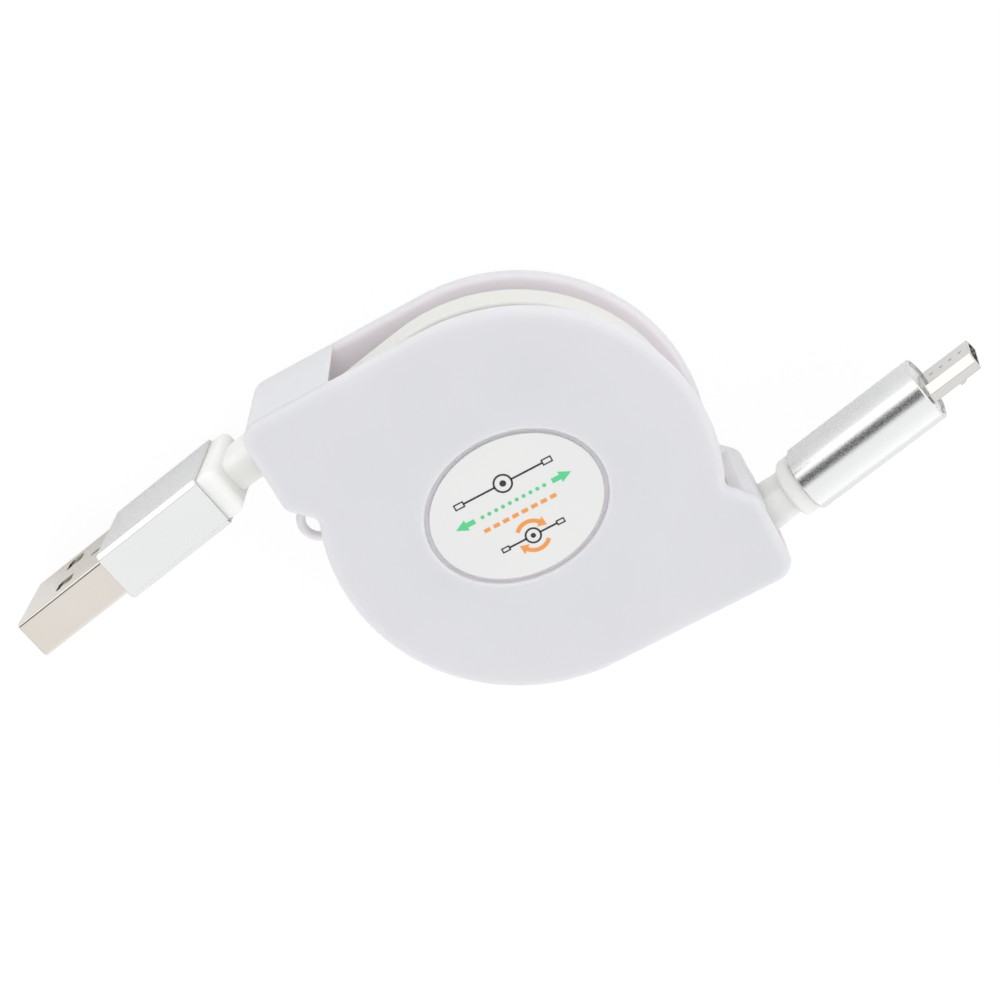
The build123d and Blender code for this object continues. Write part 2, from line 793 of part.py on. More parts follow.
def device_cavity():
    """Half the thickness of the room inside the small shield."""
    return device_shield_thickness / 2 - device_shield_wall - seat_clearance


def make_device_tongue():
    """Insulator: a base that fills the small shield and a tongue under the bevelled face."""
    half_thick = device_cavity()
    inside = device_shield_section(-device_shield_wall - seat_clearance)
    base = section(inside, device_shield_start, device_tip - device_cavity_depth)
    full = section(inside, device_shield_start, device_tip - device_tongue_setback)
    keep = Box(2 * (device_tip + cut_over), 2 * device_tongue_thickness, device_shield_width)
    return base + (full & Pos(0, half_thick, 0) * keep)


def make_device_contacts():
    """Five narrow gold strips under the tongue."""
    surface = device_cavity() - device_tongue_thickness
    start = device_tip - device_cavity_depth
    length = device_cavity_depth - device_tongue_setback - device_contact_setback
    strips = []
    for step in range(device_contact_count):
        offset = (step - (device_contact_count - 1) / 2) * device_contact_pitch
        strip = Rectangle(device_contact_thickness, device_contact_width, align=(Align.MAX, Align.CENTER))
        strips.append(Pos(0, surface, offset) * section(strip, start, start + length))
    return Compound(children=strips)


def make_device_latches():
    """Two leaf springs inside the shield, each with a hook that stands out through its slot."""
    wall_inner = -device_shield_thickness / 2 + device_shield_wall
    hook_front = device_tip - latch_setback
    hook_rear = hook_front - latch_hook_length
    hook_bottom = -device_shield_thickness / 2 - latch_hook_height
    arm_start = device_tip - device_cavity_depth
    profile = Polyline(
        (arm_start, wall_inner),
        (hook_rear, wall_inner),
        (hook_rear, hook_bottom),
        (hook_rear + latch_hook_flat, hook_bottom),
        (hook_front, wall_inner),
        (arm_start + latch_arm_length, wall_inner),
        (arm_start + latch_arm_length, wall_inner + latch_strip),
        (arm_start, wall_inner + latch_strip),
        close=True,
    )
    leaf = extrude(make_face(profile), latch_width / 2, both=True)
    return Compound(children=[Pos(0, 0, side * latch_offset) * leaf for side in (-1, 1)])


def build_parts():
    """All the pieces by node name, in the object's frame."""
    return {
        "rear_shell": make_rear_shell(),
        "front_shell": make_front_shell(),
        "label": make_label(),
        "centre_screw": make_centre_screw(),
        "spool": make_spool(),
        "spool_cover": make_spool_cover(),
        "cable_coil": make_cable_coil(),
        "power_spring": make_power_spring(),
        "ratchet_pawl": make_ratchet_pawl(),
        "host_cable_lead": on_host_exit(make_lead(host_exit_angle, host_neck_start)),
        "host_plug_overmould": on_host_exit(make_host_overmould()),
        "host_plug_sleeve": on_host_exit(host_hung(make_host_sleeve())),
        "host_plug_shield": on_host_exit(host_hung(make_host_shield())),
        "host_plug_tongue": on_host_exit(host_hung(make_host_tongue())),
        "host_plug_contacts": on_host_exit(host_hung(make_host_contacts())),
        "device_cable_lead": on_device_exit(make_lead(device_exit_angle, device_neck_start)),
        "device_plug_overmould": on_device_exit(make_device_overmould()),
        "device_plug_sleeve": on_device_exit(device_hung(make_device_sleeve())),
        "device_plug_shield": on_device_exit(device_hung(make_device_shield())),
        "device_plug_tongue": on_device_exit(device_hung(make_device_tongue())),
        "device_plug_contacts": on_device_exit(device_hung(make_device_contacts())),
        "device_plug_latches": on_device_exit(device_hung(make_device_latches())),
    }


os.makedirs("parts", exist_ok=True)
for name, shape in build_parts().items():
    export_step(shape, f"parts/{name}.step")
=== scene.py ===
"""Looks of a retractable charging cable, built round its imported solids.

Metres, in the solids' own frame: the origin is on the spool's axis at the rear face, +Z runs
to the front shell and +X along the arms' straight sides to the device plug.
"""

import json
import logging
import math
from dataclasses import dataclass, field
from enum import Enum
from typing import Callable

import bmesh
import bpy
from mathutils import Matrix, Vector

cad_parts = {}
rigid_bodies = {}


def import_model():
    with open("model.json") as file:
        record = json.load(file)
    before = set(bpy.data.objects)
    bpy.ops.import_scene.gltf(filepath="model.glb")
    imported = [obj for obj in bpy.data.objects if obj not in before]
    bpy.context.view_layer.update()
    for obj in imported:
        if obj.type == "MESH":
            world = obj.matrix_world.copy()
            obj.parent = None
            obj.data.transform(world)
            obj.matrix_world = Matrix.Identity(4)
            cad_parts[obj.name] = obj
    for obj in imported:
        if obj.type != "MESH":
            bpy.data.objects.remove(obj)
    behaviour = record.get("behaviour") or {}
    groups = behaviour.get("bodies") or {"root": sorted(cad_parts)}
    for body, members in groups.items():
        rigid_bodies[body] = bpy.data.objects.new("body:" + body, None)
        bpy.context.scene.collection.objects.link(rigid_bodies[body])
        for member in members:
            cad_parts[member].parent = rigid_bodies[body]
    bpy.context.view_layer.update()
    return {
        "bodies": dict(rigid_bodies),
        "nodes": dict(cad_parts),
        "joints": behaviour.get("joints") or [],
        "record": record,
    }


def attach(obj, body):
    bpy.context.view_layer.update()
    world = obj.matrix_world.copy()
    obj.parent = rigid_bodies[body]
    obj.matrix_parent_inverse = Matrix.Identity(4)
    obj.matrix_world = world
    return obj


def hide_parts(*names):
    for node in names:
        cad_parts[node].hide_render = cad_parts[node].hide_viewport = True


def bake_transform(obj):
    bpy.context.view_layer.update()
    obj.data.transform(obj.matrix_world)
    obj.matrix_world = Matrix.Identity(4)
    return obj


LOG = logging.getLogger("retractable_cable")
Point = tuple[float, float]
Place = tuple[float, float, float]
Colour = tuple[float, float, float]

MM = 0.001
CREASE = math.radians(50.0)
HOST_EXIT_DEGREES = 10.0
CABLE_MIDDLE_MM = 7.7
ARC_STEP_DEGREES = 7.5
ARC_LEAST_STEPS = 12
BLACK: Colour = (0.0, 0.0, 0.0)
ZERO: Place = (0.0, 0.0, 0.0)
CLOSED_MM = 1e-6
NUMBER_RESULTS = ("DOT_PRODUCT", "LENGTH")
MASK = {"Mask": "Float"}
MESH = {"Mesh": "Geometry"}
BAND = {"Thickness": "Float", "Width": "Float", "Corner": "Float", "Finish": "Material"}


class Slot(Enum):
    """Material slots of the record."""

    SHELL = "shell_plastic"
    LABEL = "label_film"
    SCREW = "screw_steel"
    SPOOL = "spool_plastic"
    JACKET = "cable_jacket"
    SPRING = "spring_steel"
    OVERMOULD = "overmould_plastic"
    SLEEVE = "sleeve_aluminium"
    SHIELD = "shield_nickel"
    TONGUE = "tongue_plastic"
    CONTACT = "contact_gold"


class Plating(Enum):
    """Platings that stand beside the slot's own."""

    PALE = "pale_nickel"


class Ink(Enum):
    """Inks of the label's pictogram."""

    LINE = "ink_charcoal"
    OUTWARD = "ink_green"
    INWARD = "ink_orange"


@dataclass
class NodeBench:
    """A node tree with short calls for adding, setting and wiring its nodes."""

    tree: bpy.types.NodeTree

    @classmethod
    def of(cls, owner: bpy.types.Material | bpy.types.World) -> "NodeBench":
        """Bench of a material or a world.

        Args:
            owner: The material or world, which loses its nodes.

        Returns:
            The bench.
        """
        owner.use_nodes = True
        owner.node_tree.nodes.clear()
        return cls(owner.node_tree)

    @classmethod
    def group(
        cls, family: str, name: str, inputs: dict[str, str | float], outputs: dict[str, str]
    ) -> tuple["NodeBench", dict, dict]:
        """Bench of a new node group.

        Args:
            family: Shader or Geometry.
            name: The group's name.
            inputs: Its inputs by name, each a socket kind, or the default of a float.
            outputs: Its outputs by name, each a socket kind.

        Returns:
            The bench, the group's input sockets and its output sockets, by name.
        """
        tree = bpy.data.node_groups.new(name, f"{family}NodeTree")
        for label, given in inputs.items():
            kind = given if isinstance(given, str) else "Float"
            socket = tree.interface.new_socket(label, in_out="INPUT", socket_type=f"NodeSocket{kind}")
            if kind != given:
                socket.default_value = given
        for label, kind in outputs.items():
            tree.interface.new_socket(label, in_out="OUTPUT", socket_type=f"NodeSocket{kind}")
        bench = cls(tree)
        entry, leave = bench.add("NodeGroupInput").outputs, bench.add("NodeGroupOutput").inputs
        return bench, {label: entry[label] for label in inputs}, {label: leave[label] for label in outputs}

    def add(
        self, kind: str, wires: dict[str | int, object] | None = None, **properties: object
    ) -> bpy.types.Node:
        """Adds a node.

        Args:
            kind: The node's type name.
            wires: What its inputs are fed, by name or place.
            **properties: Values for the node's own properties, which are set first.

        Returns:
            The new node.
        """
        node = self.tree.nodes.new(kind)
        for name, value in properties.items():
            setattr(node, name, value)
        for label, source in (wires or {}).items():
            self.feed(node.inputs[label], source)
        return node

    def feed(self, target: bpy.types.NodeSocket, source: object) -> None:
        """Wires a socket to another, or sets its plain value.

        Args:
            target: The input socket.
            source: An output socket, a node for its first output, or a number, tuple or data block.
        """
        if isinstance(source, bpy.types.Node):
            source = source.outputs[0]
        if isinstance(source, bpy.types.NodeSocket):
            self.tree.links.new(source, target)
        else:
            target.default_value = source

    def math(self, operation: str, first: object, second: object = 0.0) -> bpy.types.NodeSocket:
        """Result of a math node.

        Args:
            operation: The math node's operation.
            first: Socket or number.
            second: Socket or number.

        Returns:
            The result socket.
        """
        return self.add("ShaderNodeMath", {0: first, 1: second}, operation=operation).outputs[0]

    def shortcut(self, operation: str) -> Callable[[object, object], bpy.types.NodeSocket]:
        """A call for one math operation.

        Args:
            operation: The math node's operation.

        Returns:
            A function of two sockets or numbers.
        """
        return lambda first, second: self.math(operation, first, second)

    def vector(self, operation: str, first: object, second: object = ZERO) -> bpy.types.NodeSocket:
        """Result of a vector math node.

        Args:
            operation: The vector math node's operation.
            first: Socket or vector.
            second: Socket or vector.

        Returns:
            The result socket, a number for a dot product or a length.
        """
        node = self.add("ShaderNodeVectorMath", {0: first, 1: second}, operation=operation)
        return node.outputs["Value" if operation in NUMBER_RESULTS else "Vector"]

    def join(self, across: object, along: object, height: object) -> bpy.types.NodeSocket:
        """Vector of three sockets or numbers."""
        return self.add("ShaderNodeCombineXYZ", {0: across, 1: along, 2: height}).outputs[0]

    def split(self, vector: object) -> list[bpy.types.NodeSocket]:
        """The three parts of a vector."""
        return list(self.add("ShaderNodeSeparateXYZ", {0: vector}).outputs)

    def blend(self, share: object, first: object, second: object) -> bpy.types.NodeSocket:
        """Number between two others.

        Args:
            share: Socket or number from 0 to 1.
            first: Socket or number at share 0.
            second: Socket or number at share 1.

        Returns:
            The result socket.
        """
        wires = {0: share, 2: first, 3: second}
        return self.add("ShaderNodeMix", wires, data_type="FLOAT", clamp_factor=True).outputs[0]

    def tint(self, mask: object, first: object, second: object) -> bpy.types.NodeSocket:
        """Colour between two others, by a mask.

        Args:
            mask: Socket or number.
            first: Colour socket or tuple where the mask is 0.
            second: Colour socket or tuple where the mask is 1.

        Returns:
            The mixed colour socket.
        """
        node = self.add("ShaderNodeMix", {"Factor": mask}, data_type="RGBA")
        for label, value in (("A", first), ("B", second)):
            socket = next(s for s in node.inputs if s.name == label and s.type == "RGBA")
            self.feed(socket, (*value, 1.0) if isinstance(value, tuple) else value)
        return next(s for s in node.outputs if s.type == "RGBA")

    def spread(
        self, value: object, low: float, high: float, to_low: object = 0.0, to_high: object = 1.0
    ) -> bpy.types.NodeSocket:
        """Value mapped, and clamped, from one range to another.

        Args:
            value: Socket or number to map.
            low: Start of the source range.
            high: End of the source range.
            to_low: Result at the start.
            to_high: Result at the end.

        Returns:
            The result socket.
        """
        wires = dict(enumerate((value, low, high, to_low, to_high)))
        return self.add("ShaderNodeMapRange", wires, clamp=True).outputs[0]


class EffectShelf:
    """Shader node groups for the effects that several finishes share."""

    def __init__(self) -> None:
        """Builds every group once."""
        self.drift = self._tone_drift()
        self.skin = self._moulded_skin()
        self.specks = self._specks()
        self.lines = self._drawn_lines()
        # painted edge shading: dark painted reflection lines on metals, a painted highlight on the shell
        self.edges = self._edge_rub()
        # painted fill light and glow on the housing's inner faces and the label's groove
        self.inside = self._inner_faces()

    @staticmethod
    def _place(bench: NodeBench) -> bpy.types.NodeSocket:
        """Object coordinates inside a group."""
        return bench.add("ShaderNodeTexCoord").outputs["Object"]

    def _noise(
        self, bench: NodeBench, scale: object, detail: float, vector: object = None
    ) -> bpy.types.NodeSocket:
        """Noise value on object coordinates.

        Args:
            bench: The group's bench.
            scale: Socket or number, in cells per metre.
            detail: Octaves.
            vector: Coordinates to use in place of the object's.

        Returns:
            The noise value socket.
        """
        wires = {"Vector": vector or self._place(bench), "Scale": scale, "Detail": detail}
        return bench.add("ShaderNodeTexNoise", wires).outputs["Fac"]

    def _tone_drift(self) -> bpy.types.ShaderNodeTree:
        """Slow change of tone over a moulding, as a mask.

        Returns:
            The group.
        """
        bench, given, out = NodeBench.group("Shader", "tone_drift", {"Scale": 90.0}, MASK)
        wide = self._noise(bench, given["Scale"], detail=2.0)
        bench.feed(out["Mask"], bench.spread(wide, low=0.3, high=0.7))
        return bench.tree

    def _moulded_skin(self) -> bpy.types.ShaderNodeTree:
        """Fine skin of a moulding or a blasted metal, as a height and a mask.

        Returns:
            The group.
        """
        inputs = {"Scale": 9000.0, "Waviness": 0.3, "Wave Scale": 0.03}
        bench, given, out = NodeBench.group("Shader", "moulded_skin", inputs, {"Height": "Float", **MASK})
        fine = self._noise(bench, given["Scale"], detail=3.0)
        broad = bench.math("MULTIPLY", given["Scale"], given["Wave Scale"])
        swell = bench.math("MULTIPLY", self._noise(bench, broad, detail=1.0), given["Waviness"])
        bench.feed(out["Height"], bench.math("ADD", fine, swell))
        bench.feed(out["Mask"], bench.spread(fine, low=0.35, high=0.65))
        return bench.tree

    def _specks(self) -> bpy.types.ShaderNodeTree:
        """Sparse dark inclusions and dust, as a mask.

        Returns:
            The group.
        """
        inputs = {"Scale": 220.0, "Size": 0.03, "Share": 0.05}
        bench, given, out = NodeBench.group("Shader", "specks", inputs, MASK)
        wires = {"Vector": self._place(bench), "Scale": given["Scale"]}
        cells = bench.add("ShaderNodeTexVoronoi", wires)
        near = bench.math("LESS_THAN", cells.outputs["Distance"], given["Size"])
        lot = bench.add("ShaderNodeSeparateColor", {0: cells.outputs["Color"]})
        chosen = bench.math("LESS_THAN", lot, given["Share"])
        bench.feed(out["Mask"], bench.math("MULTIPLY", near, chosen))
        return bench.tree

    def _drawn_lines(self) -> bpy.types.ShaderNodeTree:
        """Fine lines of drawn or extruded stock along one direction, as a height.

        Returns:
            The group.
        """
        inputs = {"Heading": 0.0, "Across": 7000.0, "Along": 200.0}
        bench, given, out = NodeBench.group("Shader", "drawn_lines", inputs, {"Height": "Float"})
        wires = {"Vector": self._place(bench), "Angle": bench.math("MULTIPLY", given["Heading"], -1.0)}
        turned = bench.add("ShaderNodeVectorRotate", wires, rotation_type="Z_AXIS")
        stretch = bench.join(given["Along"], given["Across"], given["Across"])
        scaled = bench.vector("MULTIPLY", turned, stretch)
        bench.feed(out["Height"], self._noise(bench, 1.0, detail=2.0, vector=scaled))
        return bench.tree

    def _edge_rub(self) -> bpy.types.ShaderNodeTree:
        """Softened edges, as a normal, and a mask of painted edge shading along them, broken up by noise:
        the finish's edge colour paints dark reflection lines on metals and a light highlight on the shell.

        Returns:
            The group.
        """
        inputs = {"Reach": 0.0002, "Break": 1500.0, "Least Shading": 0.25}
        bench, given, out = NodeBench.group("Shader", "edge_rub", inputs, {**MASK, "Normal": "Vector"})
        bevel = bench.add("ShaderNodeBevel", {"Radius": given["Reach"]}, samples=12)
        true = bench.add("ShaderNodeNewGeometry").outputs["Normal"]
        edge = bench.spread(bench.vector("DOT_PRODUCT", bevel, true), low=0.995, high=0.92)
        patches = self._noise(bench, given["Break"], detail=3.0)
        patchy = bench.spread(patches, low=0.35, high=0.6, to_low=given["Least Shading"])
        bench.feed(out["Mask"], bench.math("MULTIPLY", edge, patchy))
        bench.feed(out["Normal"], bevel)
        return bench.tree

    def _inner_faces(self) -> bpy.types.ShaderNodeTree:
        """Painted fill light: faces that look towards the housing's middle, and the label's groove, as a
        mask for a lighter tint and a glow that stand in for light inside the housing.

        Returns:
            The group.
        """
        inputs = {
            "Middle": CABLE_MIDDLE_MM * MM, "Ceiling": 0.0135, "Depth": 6.0,
            "Groove": 0.012, "Face": 0.01515, "Groove Share": 0.4,
        }
        bench, given, out = NodeBench.group("Shader", "inner_faces", inputs, MASK)
        below, less, times = map(bench.shortcut, ("LESS_THAN", "SUBTRACT", "MULTIPLY"))
        across, along, height = bench.split(self._place(bench))
        rise = times(less(height, given["Middle"]), given["Depth"])
        outward = bench.vector("NORMALIZE", bench.join(across, along, rise))
        normal = bench.add("ShaderNodeNewGeometry").outputs["Normal"]
        inward = bench.spread(bench.vector("DOT_PRODUCT", normal, outward), low=0.1, high=-0.8)
        under = below(height, given["Ceiling"])
        near = below(bench.vector("LENGTH", bench.join(across, along, 0.0)), given["Groove"])
        sunk = less(below(height, given["Face"]), under)
        groove = times(times(near, sunk), given["Groove Share"])
        bench.feed(out["Mask"], bench.math("ADD", times(inward, under), groove))
        return bench.tree


@dataclass(frozen=True)
class Finish:
    """A material's base values, and how strongly each shared effect marks it."""

    colour: Colour
    shade: Colour
    roughness: float
    rough_shift: float = 0.05
    metallic: float = 0.0
    drift_scale: float = 90.0
    skin_scale: float = 9000.0
    skin_wave: float = 0.3
    skin_depth: float = 6e-6
    line_heading: float | None = None
    line_depth: float = 0.0
    line_across: float = 7000.0
    # reach of the softened edges and of the painted edge shading, whose colour paints dark reflection lines
    # on metals and a light highlight on the shell
    rub_reach: float = 0.00015
    painted_edge_shading: Colour | None = None
    speck_share: float = 0.0
    speck_tone: float = 0.35
    # painted fill light: lighter tint and glow on the housing's inner faces and the label's groove
    inner_light_colour: Colour | None = None
    inner_painted_glow: float = 0.0
    specular: float = 0.5
    subsurface: float = 0.0
    scatter: float = 0.6
    scatter_tint: Colour = (1.0, 0.95, 0.97)

    def make(self, name: str, shelf: EffectShelf) -> bpy.types.Material:
        """Builds the material.

        Args:
            name: The material's name.
            shelf: The shared effects.

        Returns:
            The new material.
        """
        material = bpy.data.materials.new(name)
        bench = NodeBench.of(material)
        shader = bench.add("ShaderNodeBsdfPrincipled", self._constants())
        bench.add("ShaderNodeOutputMaterial", {"Surface": shader})
        wires = {"Scale": self.skin_scale, "Waviness": self.skin_wave}
        skin = bench.add("ShaderNodeGroup", wires, node_tree=shelf.skin)
        smooth, coarse = self.roughness - self.rough_shift, self.roughness + self.rough_shift
        rough = bench.spread(skin.outputs["Mask"], 0.0, 1.0, smooth, coarse)
        height = bench.math("MULTIPLY", skin.outputs["Height"], self.skin_depth)
        if self.line_heading is not None:
            wires = {"Heading": self.line_heading, "Across": self.line_across}
            lines = bench.add("ShaderNodeGroup", wires, node_tree=shelf.lines)
            height = bench.math("ADD", height, bench.math("MULTIPLY", lines, self.line_depth))
        drift = bench.add("ShaderNodeGroup", {"Scale": self.drift_scale}, node_tree=shelf.drift)
        colour = bench.tint(drift, self.colour, self.shade)
        # painted fill light: inner faces and the label's groove tinted lighter and made to glow
        if self.inner_light_colour:
            inside = bench.add("ShaderNodeGroup", node_tree=shelf.inside)
            colour = bench.tint(inside, colour, self.inner_light_colour)
            bench.feed(shader.inputs["Emission Color"], bench.tint(inside, BLACK, self.inner_light_colour))
        if self.speck_share:
            specks = bench.add("ShaderNodeGroup", {"Share": self.speck_share}, node_tree=shelf.specks)
            colour = bench.tint(specks, colour, tuple(self.speck_tone * part for part in self.colour))
        bump = bench.add("ShaderNodeBump", {"Height": height, "Distance": 1.0})
        # painted edge shading: the edge colour laid along softened edges as painted reflection lines and
        # highlight
        if self.painted_edge_shading:
            painted_edges = bench.add("ShaderNodeGroup", {"Reach": self.rub_reach}, node_tree=shelf.edges)
            colour = bench.tint(painted_edges.outputs["Mask"], colour, self.painted_edge_shading)
            bench.feed(bump.inputs["Normal"], painted_edges.outputs["Normal"])
        for label, source in (("Base Color", colour), ("Roughness", rough), ("Normal", bump)):
            bench.feed(shader.inputs[label], source)
        return material

    def _constants(self) -> dict[str, object]:
        """Values that are the same all over.

        Returns:
            Values for the shader's own sockets, by name.
        """
        return {
            "Metallic": self.metallic,
            "Specular IOR Level": self.specular,
            "Subsurface Weight": self.subsurface,
            "Subsurface Radius": self.scatter_tint,
            "Subsurface Scale": self.scatter * MM,
            # glow of the painted fill light on inner faces
            "Emission Strength": self.inner_painted_glow,
        }


# plated metals: dark painted reflection lines along their edges
PLATED = {
    "metallic": 1.0, "skin_depth": 1e-6, "line_heading": math.radians(HOST_EXIT_DEGREES), "line_depth": 2e-6,
    "rub_reach": 0.00009, "painted_edge_shading": (0.27, 0.24, 0.20),
}

FINISHES: dict[Slot | Plating | Ink, Finish] = {
    Slot.SHELL: Finish(
        (0.70, 0.70, 0.715), (0.685, 0.685, 0.705), 0.36, skin_scale=6000.0, skin_depth=1.5e-6,
        # light painted highlight along the shell's edges
        rub_reach=0.0002, painted_edge_shading=(0.77, 0.77, 0.79), speck_share=0.05,
        # painted fill light and glow on the shell's inner faces and the label's groove
        inner_light_colour=(0.76, 0.72, 0.745), inner_painted_glow=0.1, subsurface=0.7, scatter=1.5,
    ),
    Slot.LABEL: Finish((0.77, 0.775, 0.755), (0.755, 0.76, 0.745), 0.4, skin_depth=1e-6),
    Slot.SCREW: Finish((0.5, 0.5, 0.52), (0.42, 0.42, 0.44), 0.35, metallic=1.0),
    Slot.SPOOL: Finish((0.66, 0.64, 0.66), (0.63, 0.61, 0.63), 0.5),
    Slot.JACKET: Finish(
        (0.765, 0.765, 0.725), (0.745, 0.745, 0.705), 0.48, skin_scale=5000.0, skin_depth=3e-6,
    ),
    Slot.SPRING: Finish((0.22, 0.24, 0.28), (0.16, 0.17, 0.2), 0.35, metallic=1.0),
    Slot.OVERMOULD: Finish(
        (0.87, 0.87, 0.84), (0.85, 0.85, 0.82), 0.45, skin_scale=5000.0, skin_depth=3e-6,
        subsurface=0.7, scatter=1.5,
    ),
    # sleeve: dark painted reflection lines along its edges
    Slot.SLEEVE: Finish(
        (0.81, 0.81, 0.805), (0.785, 0.785, 0.785), 0.24, metallic=1.0, skin_scale=6000.0,
        skin_wave=0.1, skin_depth=6e-6, rub_reach=0.0001, painted_edge_shading=(0.27, 0.27, 0.28),
    ),
    Slot.SHIELD: Finish((0.72, 0.675, 0.615), (0.69, 0.64, 0.575), 0.17, **PLATED),
    Plating.PALE: Finish((0.69, 0.675, 0.65), (0.655, 0.64, 0.615), 0.15, **PLATED),
    Slot.TONGUE: Finish((0.74, 0.74, 0.71), (0.72, 0.72, 0.69), 0.5),
    Slot.CONTACT: Finish((0.78, 0.58, 0.24), (0.72, 0.52, 0.2), 0.22, metallic=1.0),
    Ink.LINE: Finish((0.02, 0.02, 0.022), (0.03, 0.03, 0.032), 0.5),
    Ink.OUTWARD: Finish((0.08, 0.60, 0.24), (0.10, 0.64, 0.27), 0.5),
    Ink.INWARD: Finish((0.85, 0.31, 0.06), (0.88, 0.34, 0.08), 0.5),
}

Paints = dict[Slot | Plating | Ink, bpy.types.Material]


def place_object(name: str, data: bpy.types.ID) -> bpy.types.Object:
    """A new object in the scene.

    Args:
        name: The object's name.
        data: Its mesh or camera.

    Returns:
        The object, at the origin.
    """
    piece = bpy.data.objects.new(name, data)
    bpy.context.scene.collection.objects.link(piece)
    return piece


class FormShelf:
    """Geometry node trees for what repeats or follows a path."""

    CORNER_POINTS = 4
    DOT_SIDES = 24

    def __init__(self) -> None:
        """Builds every tree once."""
        self.sweep = self._ribbon_sweep()
        self.run = self._straight_run()
        self.winding = self._wound_ribbon()
        self.strokes = self._ink_strokes()
        self.marks = self._mark_row()

    @staticmethod
    def _close(bench: NodeBench, geometry: object, given: dict, out: dict) -> bpy.types.GeometryNodeTree:
        """Ends a tree in real meshes of its one material.

        Args:
            bench: The tree's bench.
            geometry: What the tree has made.
            given: The tree's input sockets.
            out: The tree's output sockets.

        Returns:
            The tree.
        """
        realized = bench.add("GeometryNodeRealizeInstances", {"Geometry": geometry})
        dressed = bench.add("GeometryNodeSetMaterial", {"Geometry": realized, "Material": given["Finish"]})
        bench.feed(out["Mesh"], dressed)
        return bench.tree

    def _ribbon_sweep(self) -> bpy.types.GeometryNodeTree:
        """Flat band with rounded edges along a level curve.

        Returns:
            The tree.
        """
        bench, given, out = NodeBench.group("Geometry", "ribbon_sweep", {"Curve": "Geometry", **BAND}, MESH)
        upright = bench.add("GeometryNodeSetCurveNormal", {"Curve": given["Curve"]}, mode="Z_UP")
        wires = {"Width": given["Thickness"], "Height": given["Width"]}
        profile = bench.add("GeometryNodeCurvePrimitiveQuadrilateral", wires)
        wires = {"Curve": profile, "Radius": given["Corner"], "Limit Radius": True}
        wires["Count"] = self.CORNER_POINTS
        rounded = bench.add("GeometryNodeFilletCurve", wires, mode="POLY")
        wires = {"Curve": upright, "Profile Curve": rounded, "Fill Caps": True}
        band = bench.add("GeometryNodeCurveToMesh", wires)
        smooth = bench.add("GeometryNodeSetShadeSmooth", {"Geometry": band})
        bend = bench.add("GeometryNodeInputMeshEdgeAngle").outputs["Unsigned Angle"]
        folded = bench.math("GREATER_THAN", bend, CREASE)
        wires = {"Geometry": smooth, "Selection": folded, "Shade Smooth": False}
        crisp = bench.add("GeometryNodeSetShadeSmooth", wires, domain="EDGE")
        return self._close(bench, crisp, given, out)

    def _band(self, bench: NodeBench, given: dict, curve: object) -> bpy.types.Node:
        """Sweeps a tree's curve with the tree's own band inputs.

        Args:
            bench: The tree's bench.
            given: The tree's input sockets.
            curve: The curve to follow.

        Returns:
            The node that puts out the band's mesh.
        """
        wires = {"Curve": curve, **{label: given[label] for label in BAND}}
        return bench.add("GeometryNodeGroup", wires, node_tree=self.sweep)

    def _straight_run(self) -> bpy.types.GeometryNodeTree:
        """Band along a straight line, divided evenly so that it can stretch.

        Returns:
            The tree.
        """
        inputs = {"Start": "Vector", "End": "Vector", "Divisions": "Int", **BAND}
        bench, given, out = NodeBench.group("Geometry", "straight_run", inputs, MESH)
        wires = {"Start": given["Start"], "End": given["End"]}
        line = bench.add("GeometryNodeCurvePrimitiveLine", wires)
        divided = bench.add("GeometryNodeResampleCurve", {"Curve": line, "Count": given["Divisions"]})
        return self._close(bench, self._band(bench, given, divided), given, out)

    def _ink_strokes(self) -> bpy.types.GeometryNodeTree:
        """Printed strokes along the edges of a flat mesh.

        Returns:
            The tree.
        """
        bench, given, out = NodeBench.group("Geometry", "ink_strokes", {"Routes": "Geometry", **BAND}, MESH)
        curve = bench.add("GeometryNodeMeshToCurve", {"Mesh": given["Routes"]})
        return self._close(bench, self._band(bench, given, curve), given, out)

    def _mark_row(self) -> bpy.types.GeometryNodeTree:
        """Row of equal printed dots or dashes.

        Returns:
            The tree.
        """
        inputs = {
            "Start": "Vector", "Step": "Vector", "Count": "Int", "Size": "Vector", "Round": "Bool",
            "Finish": "Material",
        }
        bench, given, out = NodeBench.group("Geometry", "mark_row", inputs, MESH)
        wires = {"Count": given["Count"], "Start Location": given["Start"], "Offset": given["Step"]}
        row = bench.add("GeometryNodeMeshLine", wires)
        dash = bench.add("GeometryNodeMeshCube", {"Size": given["Size"]})
        length, _, height = bench.split(given["Size"])
        radius = bench.math("MULTIPLY", length, 0.5)
        wires = {"Vertices": self.DOT_SIDES, "Radius": radius, "Depth": height}
        dot = bench.add("GeometryNodeMeshCylinder", wires)
        wires = {"Switch": given["Round"], "False": dash, "True": dot}
        chosen = bench.add("GeometryNodeSwitch", wires, input_type="GEOMETRY")
        placed = bench.add("GeometryNodeInstanceOnPoints", {"Points": row, "Instance": chosen})
        return self._close(bench, placed, given, out)

